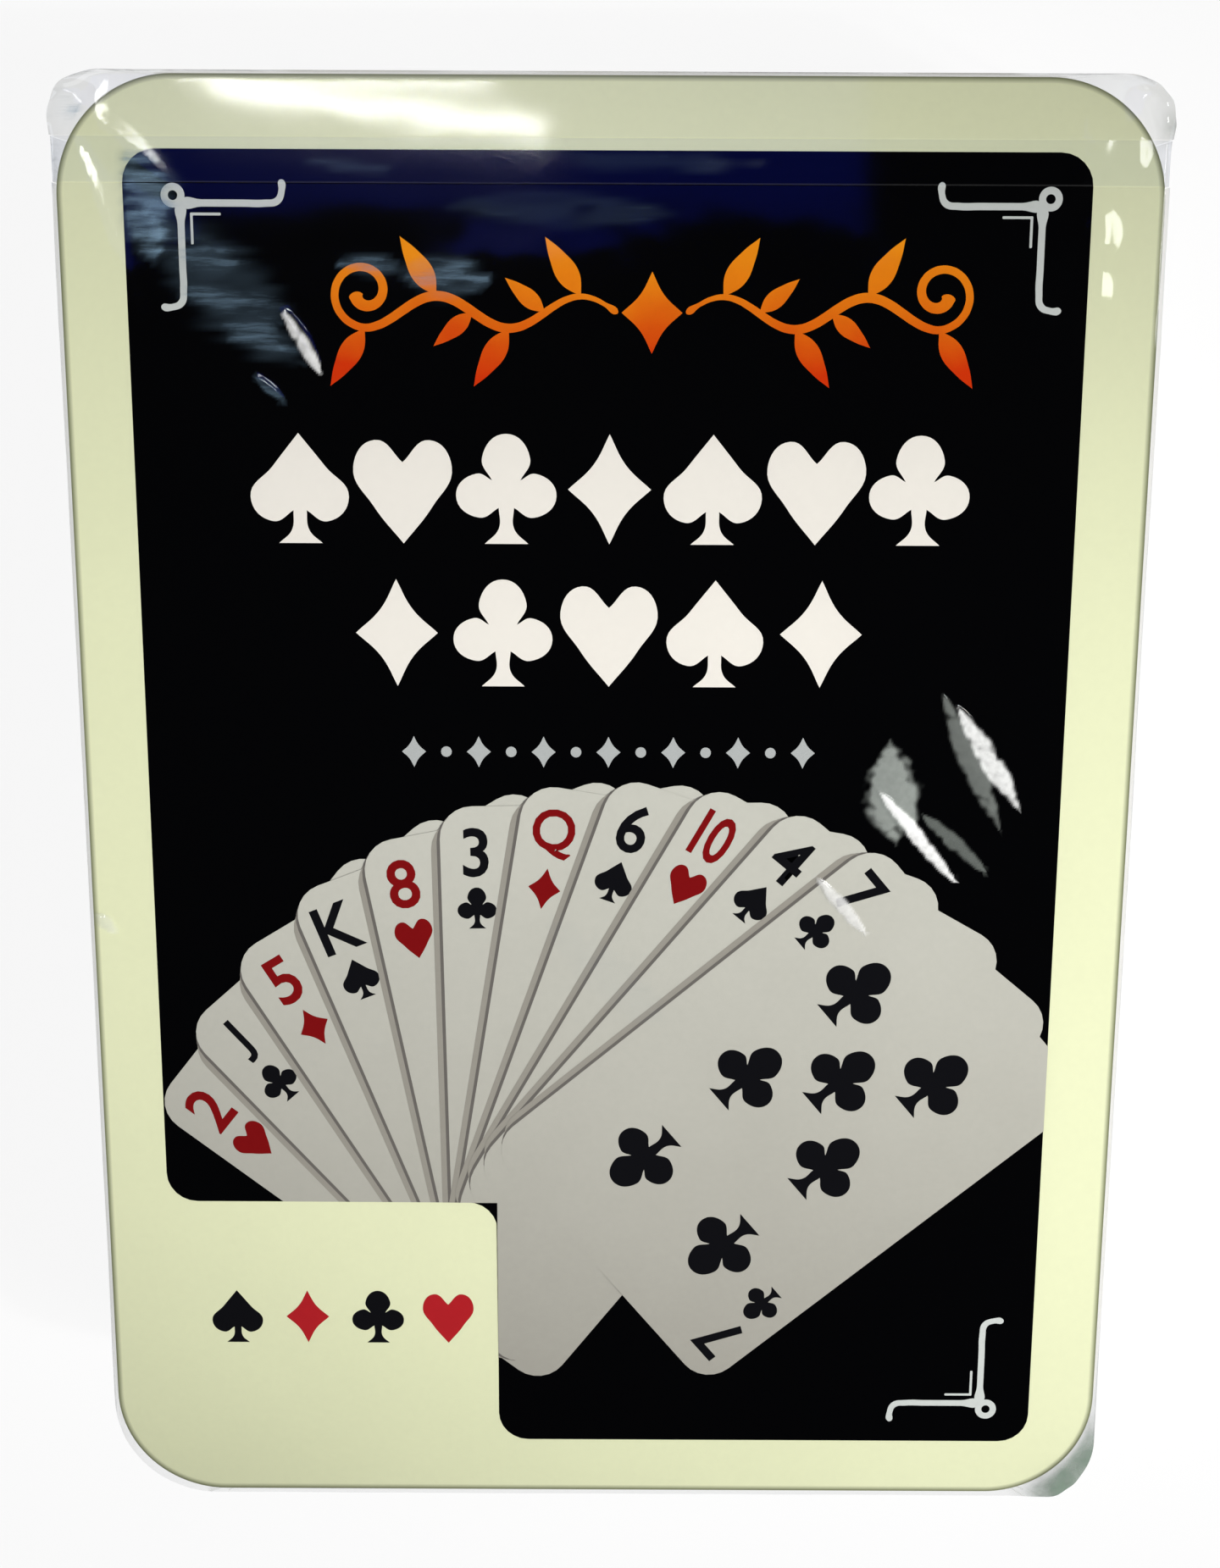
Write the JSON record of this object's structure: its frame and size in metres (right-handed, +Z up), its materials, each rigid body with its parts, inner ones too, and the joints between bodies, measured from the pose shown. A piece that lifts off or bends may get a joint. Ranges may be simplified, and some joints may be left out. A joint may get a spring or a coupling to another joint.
{
  "type": "playing card deck",
  "caption": "Wrapped deck of playing cards with large round corners: a printed cover card over the sorted cards, in clear film with a tear tape round the top.",
  "frame": {"origin": "on the surface the deck lies on, under the middle of the wrapped pack", "axes": "+Z up out of the printed cover, +Y towards the top edge of the cards, +X to the cover's right"},
  "size_m": [0.0634, 0.0884, 0.0169],
  "materials": {
    "cover_stock": "gloss",
    "card_stock": "satin",
    "clear_film": "polished",
    "tear_film": "polished"
  },
  "bodies": {
    "film_sleeve": {"film_sleeve": "clear_film"},
    "cover_card": {"cover_card": "cover_stock"},
    "joker_red": {"joker_red": "card_stock"},
    "joker_black": {"joker_black": "card_stock"},
    "ace_of_spades": {"ace_of_spades": "card_stock"},
    "two_of_spades": {"two_of_spades": "card_stock"},
    "three_of_spades": {"three_of_spades": "card_stock"},
    "four_of_spades": {"four_of_spades": "card_stock"},
    "five_of_spades": {"five_of_spades": "card_stock"},
    "six_of_spades": {"six_of_spades": "card_stock"},
    "seven_of_spades": {"seven_of_spades": "card_stock"},
    "eight_of_spades": {"eight_of_spades": "card_stock"},
    "nine_of_spades": {"nine_of_spades": "card_stock"},
    "ten_of_spades": {"ten_of_spades": "card_stock"},
    "jack_of_spades": {"jack_of_spades": "card_stock"},
    "queen_of_spades": {"queen_of_spades": "card_stock"},
    "king_of_spades": {"king_of_spades": "card_stock"},
    "ace_of_diamonds": {"ace_of_diamonds": "card_stock"},
    "two_of_diamonds": {"two_of_diamonds": "card_stock"},
    "three_of_diamonds": {"three_of_diamonds": "card_stock"},
    "four_of_diamonds": {"four_of_diamonds": "card_stock"},
    "five_of_diamonds": {"five_of_diamonds": "card_stock"},
    "six_of_diamonds": {"six_of_diamonds": "card_stock"},
    "seven_of_diamonds": {"seven_of_diamonds": "card_stock"},
    "eight_of_diamonds": {"eight_of_diamonds": "card_stock"},
    "nine_of_diamonds": {"nine_of_diamonds": "card_stock"},
    "ten_of_diamonds": {"ten_of_diamonds": "card_stock"},
    "jack_of_diamonds": {"jack_of_diamonds": "card_stock"},
    "queen_of_diamonds": {"queen_of_diamonds": "card_stock"},
    "king_of_diamonds": {"king_of_diamonds": "card_stock"},
    "king_of_clubs": {"king_of_clubs": "card_stock"},
    "queen_of_clubs": {"queen_of_clubs": "card_stock"},
    "jack_of_clubs": {"jack_of_clubs": "card_stock"},
    "ten_of_clubs": {"ten_of_clubs": "card_stock"},
    "nine_of_clubs": {"nine_of_clubs": "card_stock"},
    "eight_of_clubs": {"eight_of_clubs": "card_stock"},
    "seven_of_clubs": {"seven_of_clubs": "card_stock"},
    "six_of_clubs": {"six_of_clubs": "card_stock"},
    "five_of_clubs": {"five_of_clubs": "card_stock"},
    "four_of_clubs": {"four_of_clubs": "card_stock"},
    "three_of_clubs": {"three_of_clubs": "card_stock"},
    "two_of_clubs": {"two_of_clubs": "card_stock"},
    "ace_of_clubs": {"ace_of_clubs": "card_stock"},
    "king_of_hearts": {"king_of_hearts": "card_stock"},
    "queen_of_hearts": {"queen_of_hearts": "card_stock"},
    "jack_of_hearts": {"jack_of_hearts": "card_stock"},
    "ten_of_hearts": {"ten_of_hearts": "card_stock"},
    "nine_of_hearts": {"nine_of_hearts": "card_stock"},
    "eight_of_hearts": {"eight_of_hearts": "card_stock"},
    "seven_of_hearts": {"seven_of_hearts": "card_stock"},
    "six_of_hearts": {"six_of_hearts": "card_stock"},
    "five_of_hearts": {"five_of_hearts": "card_stock"},
    "four_of_hearts": {"four_of_hearts": "card_stock"},
    "three_of_hearts": {"three_of_hearts": "card_stock"},
    "two_of_hearts": {"two_of_hearts": "card_stock"},
    "ace_of_hearts": {"ace_of_hearts": "card_stock"},
    "film_cap": {"film_cap": "clear_film", "tear_tape": "tear_film"},
    "tear_tab": {"tear_tab": "tear_film"}
  },
  "joints": [
    {"name": "deck_slide", "type": "slide", "parent": "film_sleeve", "child": "cover_card", "axis": [0, 1, 0], "range_m": [0, 0.09]},
    {"name": "spread_joker_red", "type": "slide", "parent": "cover_card", "child": "joker_red", "axis": [0, 1, 0], "range_m": [0, 0.008]},
    {"name": "spread_joker_black", "type": "slide", "parent": "cover_card", "child": "joker_black", "axis": [0, 1, 0], "range_m": [0, 0.016]},
    {"name": "spread_ace_of_spades", "type": "slide", "parent": "cover_card", "child": "ace_of_spades", "axis": [0, 1, 0], "range_m": [0, 0.024]},
    {"name": "spread_two_of_spades", "type": "slide", "parent": "cover_card", "child": "two_of_spades", "axis": [0, 1, 0], "range_m": [0, 0.032]},
    {"name": "spread_three_of_spades", "type": "slide", "parent": "cover_card", "child": "three_of_spades", "axis": [0, 1, 0], "range_m": [0, 0.04]},
    {"name": "spread_four_of_spades", "type": "slide", "parent": "cover_card", "child": "four_of_spades", "axis": [0, 1, 0], "range_m": [0, 0.048]},
    {"name": "spread_five_of_spades", "type": "slide", "parent": "cover_card", "child": "five_of_spades", "axis": [0, 1, 0], "range_m": [0, 0.056]},
    {"name": "spread_six_of_spades", "type": "slide", "parent": "cover_card", "child": "six_of_spades", "axis": [0, 1, 0], "range_m": [0, 0.064]},
    {"name": "spread_seven_of_spades", "type": "slide", "parent": "cover_card", "child": "seven_of_spades", "axis": [0, 1, 0], "range_m": [0, 0.072]},
    {"name": "spread_eight_of_spades", "type": "slide", "parent": "cover_card", "child": "eight_of_spades", "axis": [0, 1, 0], "range_m": [0, 0.08]},
    {"name": "spread_nine_of_spades", "type": "slide", "parent": "cover_card", "child": "nine_of_spades", "axis": [0, 1, 0], "range_m": [0, 0.088]},
    {"name": "spread_ten_of_spades", "type": "slide", "parent": "cover_card", "child": "ten_of_spades", "axis": [0, 1, 0], "range_m": [0, 0.096]},
    {"name": "spread_jack_of_spades", "type": "slide", "parent": "cover_card", "child": "jack_of_spades", "axis": [0, 1, 0], "range_m": [0, 0.104]},
    {"name": "spread_queen_of_spades", "type": "slide", "parent": "cover_card", "child": "queen_of_spades", "axis": [0, 1, 0], "range_m": [0, 0.112]},
    {"name": "spread_king_of_spades", "type": "slide", "parent": "cover_card", "child": "king_of_spades", "axis": [0, 1, 0], "range_m": [0, 0.12]},
    {"name": "spread_ace_of_diamonds", "type": "slide", "parent": "cover_card", "child": "ace_of_diamonds", "axis": [0, 1, 0], "range_m": [0, 0.128]},
    {"name": "spread_two_of_diamonds", "type": "slide", "parent": "cover_card", "child": "two_of_diamonds", "axis": [0, 1, 0], "range_m": [0, 0.136]},
    {"name": "spread_three_of_diamonds", "type": "slide", "parent": "cover_card", "child": "three_of_diamonds", "axis": [0, 1, 0], "range_m": [0, 0.144]},
    {"name": "spread_four_of_diamonds", "type": "slide", "parent": "cover_card", "child": "four_of_diamonds", "axis": [0, 1, 0], "range_m": [0, 0.152]},
    {"name": "spread_five_of_diamonds", "type": "slide", "parent": "cover_card", "child": "five_of_diamonds", "axis": [0, 1, 0], "range_m": [0, 0.16]},
    {"name": "spread_six_of_diamonds", "type": "slide", "parent": "cover_card", "child": "six_of_diamonds", "axis": [0, 1, 0], "range_m": [0, 0.168]},
    {"name": "spread_seven_of_diamonds", "type": "slide", "parent": "cover_card", "child": "seven_of_diamonds", "axis": [0, 1, 0], "range_m": [0, 0.176]},
    {"name": "spread_eight_of_diamonds", "type": "slide", "parent": "cover_card", "child": "eight_of_diamonds", "axis": [0, 1, 0], "range_m": [0, 0.184]},
    {"name": "spread_nine_of_diamonds", "type": "slide", "parent": "cover_card", "child": "nine_of_diamonds", "axis": [0, 1, 0], "range_m": [0, 0.192]},
    {"name": "spread_ten_of_diamonds", "type": "slide", "parent": "cover_card", "child": "ten_of_diamonds", "axis": [0, 1, 0], "range_m": [0, 0.2]},
    {"name": "spread_jack_of_diamonds", "type": "slide", "parent": "cover_card", "child": "jack_of_diamonds", "axis": [0, 1, 0], "range_m": [0, 0.208]},
    {"name": "spread_queen_of_diamonds", "type": "slide", "parent": "cover_card", "child": "queen_of_diamonds", "axis": [0, 1, 0], "range_m": [0, 0.216]},
    {"name": "spread_king_of_diamonds", "type": "slide", "parent": "cover_card", "child": "king_of_diamonds", "axis": [0, 1, 0], "range_m": [0, 0.224]},
    {"name": "spread_king_of_clubs", "type": "slide", "parent": "cover_card", "child": "king_of_clubs", "axis": [0, 1, 0], "range_m": [0, 0.232]},
    {"name": "spread_queen_of_clubs", "type": "slide", "parent": "cover_card", "child": "queen_of_clubs", "axis": [0, 1, 0], "range_m": [0, 0.24]},
    {"name": "spread_jack_of_clubs", "type": "slide", "parent": "cover_card", "child": "jack_of_clubs", "axis": [0, 1, 0], "range_m": [0, 0.248]},
    {"name": "spread_ten_of_clubs", "type": "slide", "parent": "cover_card", "child": "ten_of_clubs", "axis": [0, 1, 0], "range_m": [0, 0.256]},
    {"name": "spread_nine_of_clubs", "type": "slide", "parent": "cover_card", "child": "nine_of_clubs", "axis": [0, 1, 0], "range_m": [0, 0.264]},
    {"name": "spread_eight_of_clubs", "type": "slide", "parent": "cover_card", "child": "eight_of_clubs", "axis": [0, 1, 0], "range_m": [0, 0.272]},
    {"name": "spread_seven_of_clubs", "type": "slide", "parent": "cover_card", "child": "seven_of_clubs", "axis": [0, 1, 0], "range_m": [0, 0.28]},
    {"name": "spread_six_of_clubs", "type": "slide", "parent": "cover_card", "child": "six_of_clubs", "axis": [0, 1, 0], "range_m": [0, 0.288]},
    {"name": "spread_five_of_clubs", "type": "slide", "parent": "cover_card", "child": "five_of_clubs", "axis": [0, 1, 0], "range_m": [0, 0.296]},
    {"name": "spread_four_of_clubs", "type": "slide", "parent": "cover_card", "child": "four_of_clubs", "axis": [0, 1, 0], "range_m": [0, 0.304]},
    {"name": "spread_three_of_clubs", "type": "slide", "parent": "cover_card", "child": "three_of_clubs", "axis": [0, 1, 0], "range_m": [0, 0.312]},
    {"name": "spread_two_of_clubs", "type": "slide", "parent": "cover_card", "child": "two_of_clubs", "axis": [0, 1, 0], "range_m": [0, 0.32]},
    {"name": "spread_ace_of_clubs", "type": "slide", "parent": "cover_card", "child": "ace_of_clubs", "axis": [0, 1, 0], "range_m": [0, 0.328]},
    {"name": "spread_king_of_hearts", "type": "slide", "parent": "cover_card", "child": "king_of_hearts", "axis": [0, 1, 0], "range_m": [0, 0.336]},
    {"name": "spread_queen_of_hearts", "type": "slide", "parent": "cover_card", "child": "queen_of_hearts", "axis": [0, 1, 0], "range_m": [0, 0.344]},
    {"name": "spread_jack_of_hearts", "type": "slide", "parent": "cover_card", "child": "jack_of_hearts", "axis": [0, 1, 0], "range_m": [0, 0.352]},
    {"name": "spread_ten_of_hearts", "type": "slide", "parent": "cover_card", "child": "ten_of_hearts", "axis": [0, 1, 0], "range_m": [0, 0.36]},
    {"name": "spread_nine_of_hearts", "type": "slide", "parent": "cover_card", "child": "nine_of_hearts", "axis": [0, 1, 0], "range_m": [0, 0.368]},
    {"name": "spread_eight_of_hearts", "type": "slide", "parent": "cover_card", "child": "eight_of_hearts", "axis": [0, 1, 0], "range_m": [0, 0.376]},
    {"name": "spread_seven_of_hearts", "type": "slide", "parent": "cover_card", "child": "seven_of_hearts", "axis": [0, 1, 0], "range_m": [0, 0.384]},
    {"name": "spread_six_of_hearts", "type": "slide", "parent": "cover_card", "child": "six_of_hearts", "axis": [0, 1, 0], "range_m": [0, 0.392]},
    {"name": "spread_five_of_hearts", "type": "slide", "parent": "cover_card", "child": "five_of_hearts", "axis": [0, 1, 0], "range_m": [0, 0.4]},
    {"name": "spread_four_of_hearts", "type": "slide", "parent": "cover_card", "child": "four_of_hearts", "axis": [0, 1, 0], "range_m": [0, 0.408]},
    {"name": "spread_three_of_hearts", "type": "slide", "parent": "cover_card", "child": "three_of_hearts", "axis": [0, 1, 0], "range_m": [0, 0.416]},
    {"name": "spread_two_of_hearts", "type": "slide", "parent": "cover_card", "child": "two_of_hearts", "axis": [0, 1, 0], "range_m": [0, 0.424]},
    {"name": "spread_ace_of_hearts", "type": "slide", "parent": "cover_card", "child": "ace_of_hearts", "axis": [0, 1, 0], "range_m": [0, 0.432]},
    {"name": "cap_pull", "type": "slide", "parent": "ace_of_hearts", "child": "film_cap", "axis": [0, 1, 0], "range_m": [0, 0.03]},
    {"name": "tab_lift", "type": "hinge", "parent": "film_cap", "child": "tear_tab", "pos_m": [-0.03172, 0.03935, 0.01195], "axis": [0, 1, 0], "range_deg": [0, 150]}
  ],
  "couplings": [
    {"joint": "spread_joker_red", "follows": "spread_ace_of_hearts", "ratio": 0.018518},
    {"joint": "spread_joker_black", "follows": "spread_ace_of_hearts", "ratio": 0.037037},
    {"joint": "spread_ace_of_spades", "follows": "spread_ace_of_hearts", "ratio": 0.055555},
    {"joint": "spread_two_of_spades", "follows": "spread_ace_of_hearts", "ratio": 0.074074},
    {"joint": "spread_three_of_spades", "follows": "spread_ace_of_hearts", "ratio": 0.092592},
    {"joint": "spread_four_of_spades", "follows": "spread_ace_of_hearts", "ratio": 0.11111},
    {"joint": "spread_five_of_spades", "follows": "spread_ace_of_hearts", "ratio": 0.12963},
    {"joint": "spread_six_of_spades", "follows": "spread_ace_of_hearts", "ratio": 0.14815},
    {"joint": "spread_seven_of_spades", "follows": "spread_ace_of_hearts", "ratio": 0.16667},
    {"joint": "spread_eight_of_spades", "follows": "spread_ace_of_hearts", "ratio": 0.18518},
    {"joint": "spread_nine_of_spades", "follows": "spread_ace_of_hearts", "ratio": 0.2037},
    {"joint": "spread_ten_of_spades", "follows": "spread_ace_of_hearts", "ratio": 0.22222},
    {"joint": "spread_jack_of_spades", "follows": "spread_ace_of_hearts", "ratio": 0.24074},
    {"joint": "spread_queen_of_spades", "follows": "spread_ace_of_hearts", "ratio": 0.25926},
    {"joint": "spread_king_of_spades", "follows": "spread_ace_of_hearts", "ratio": 0.27778},
    {"joint": "spread_ace_of_diamonds", "follows": "spread_ace_of_hearts", "ratio": 0.2963},
    {"joint": "spread_two_of_diamonds", "follows": "spread_ace_of_hearts", "ratio": 0.31481},
    {"joint": "spread_three_of_diamonds", "follows": "spread_ace_of_hearts", "ratio": 0.33333},
    {"joint": "spread_four_of_diamonds", "follows": "spread_ace_of_hearts", "ratio": 0.35185},
    {"joint": "spread_five_of_diamonds", "follows": "spread_ace_of_hearts", "ratio": 0.37037},
    {"joint": "spread_six_of_diamonds", "follows": "spread_ace_of_hearts", "ratio": 0.38889},
    {"joint": "spread_seven_of_diamonds", "follows": "spread_ace_of_hearts", "ratio": 0.40741},
    {"joint": "spread_eight_of_diamonds", "follows": "spread_ace_of_hearts", "ratio": 0.42592},
    {"joint": "spread_nine_of_diamonds", "follows": "spread_ace_of_hearts", "ratio": 0.44444},
    {"joint": "spread_ten_of_diamonds", "follows": "spread_ace_of_hearts", "ratio": 0.46296},
    {"joint": "spread_jack_of_diamonds", "follows": "spread_ace_of_hearts", "ratio": 0.48148},
    {"joint": "spread_queen_of_diamonds", "follows": "spread_ace_of_hearts", "ratio": 0.5},
    {"joint": "spread_king_of_diamonds", "follows": "spread_ace_of_hearts", "ratio": 0.51852},
    {"joint": "spread_king_of_clubs", "follows": "spread_ace_of_hearts", "ratio": 0.53704},
    {"joint": "spread_queen_of_clubs", "follows": "spread_ace_of_hearts", "ratio": 0.55556},
    {"joint": "spread_jack_of_clubs", "follows": "spread_ace_of_hearts", "ratio": 0.57407},
    {"joint": "spread_ten_of_clubs", "follows": "spread_ace_of_hearts", "ratio": 0.59259},
    {"joint": "spread_nine_of_clubs", "follows": "spread_ace_of_hearts", "ratio": 0.61111},
    {"joint": "spread_eight_of_clubs", "follows": "spread_ace_of_hearts", "ratio": 0.62963},
    {"joint": "spread_seven_of_clubs", "follows": "spread_ace_of_hearts", "ratio": 0.64815},
    {"joint": "spread_six_of_clubs", "follows": "spread_ace_of_hearts", "ratio": 0.66667},
    {"joint": "spread_five_of_clubs", "follows": "spread_ace_of_hearts", "ratio": 0.68519},
    {"joint": "spread_four_of_clubs", "follows": "spread_ace_of_hearts", "ratio": 0.7037},
    {"joint": "spread_three_of_clubs", "follows": "spread_ace_of_hearts", "ratio": 0.72222},
    {"joint": "spread_two_of_clubs", "follows": "spread_ace_of_hearts", "ratio": 0.74074},
    {"joint": "spread_ace_of_clubs", "follows": "spread_ace_of_hearts", "ratio": 0.75926},
    {"joint": "spread_king_of_hearts", "follows": "spread_ace_of_hearts", "ratio": 0.77778},
    {"joint": "spread_queen_of_hearts", "follows": "spread_ace_of_hearts", "ratio": 0.7963},
    {"joint": "spread_jack_of_hearts", "follows": "spread_ace_of_hearts", "ratio": 0.81481},
    {"joint": "spread_ten_of_hearts", "follows": "spread_ace_of_hearts", "ratio": 0.83333},
    {"joint": "spread_nine_of_hearts", "follows": "spread_ace_of_hearts", "ratio": 0.85185},
    {"joint": "spread_eight_of_hearts", "follows": "spread_ace_of_hearts", "ratio": 0.87037},
    {"joint": "spread_seven_of_hearts", "follows": "spread_ace_of_hearts", "ratio": 0.88889},
    {"joint": "spread_six_of_hearts", "follows": "spread_ace_of_hearts", "ratio": 0.90741},
    {"joint": "spread_five_of_hearts", "follows": "spread_ace_of_hearts", "ratio": 0.92592},
    {"joint": "spread_four_of_hearts", "follows": "spread_ace_of_hearts", "ratio": 0.94444},
    {"joint": "spread_three_of_hearts", "follows": "spread_ace_of_hearts", "ratio": 0.96296},
    {"joint": "spread_two_of_hearts", "follows": "spread_ace_of_hearts", "ratio": 0.98148}
  ]
}
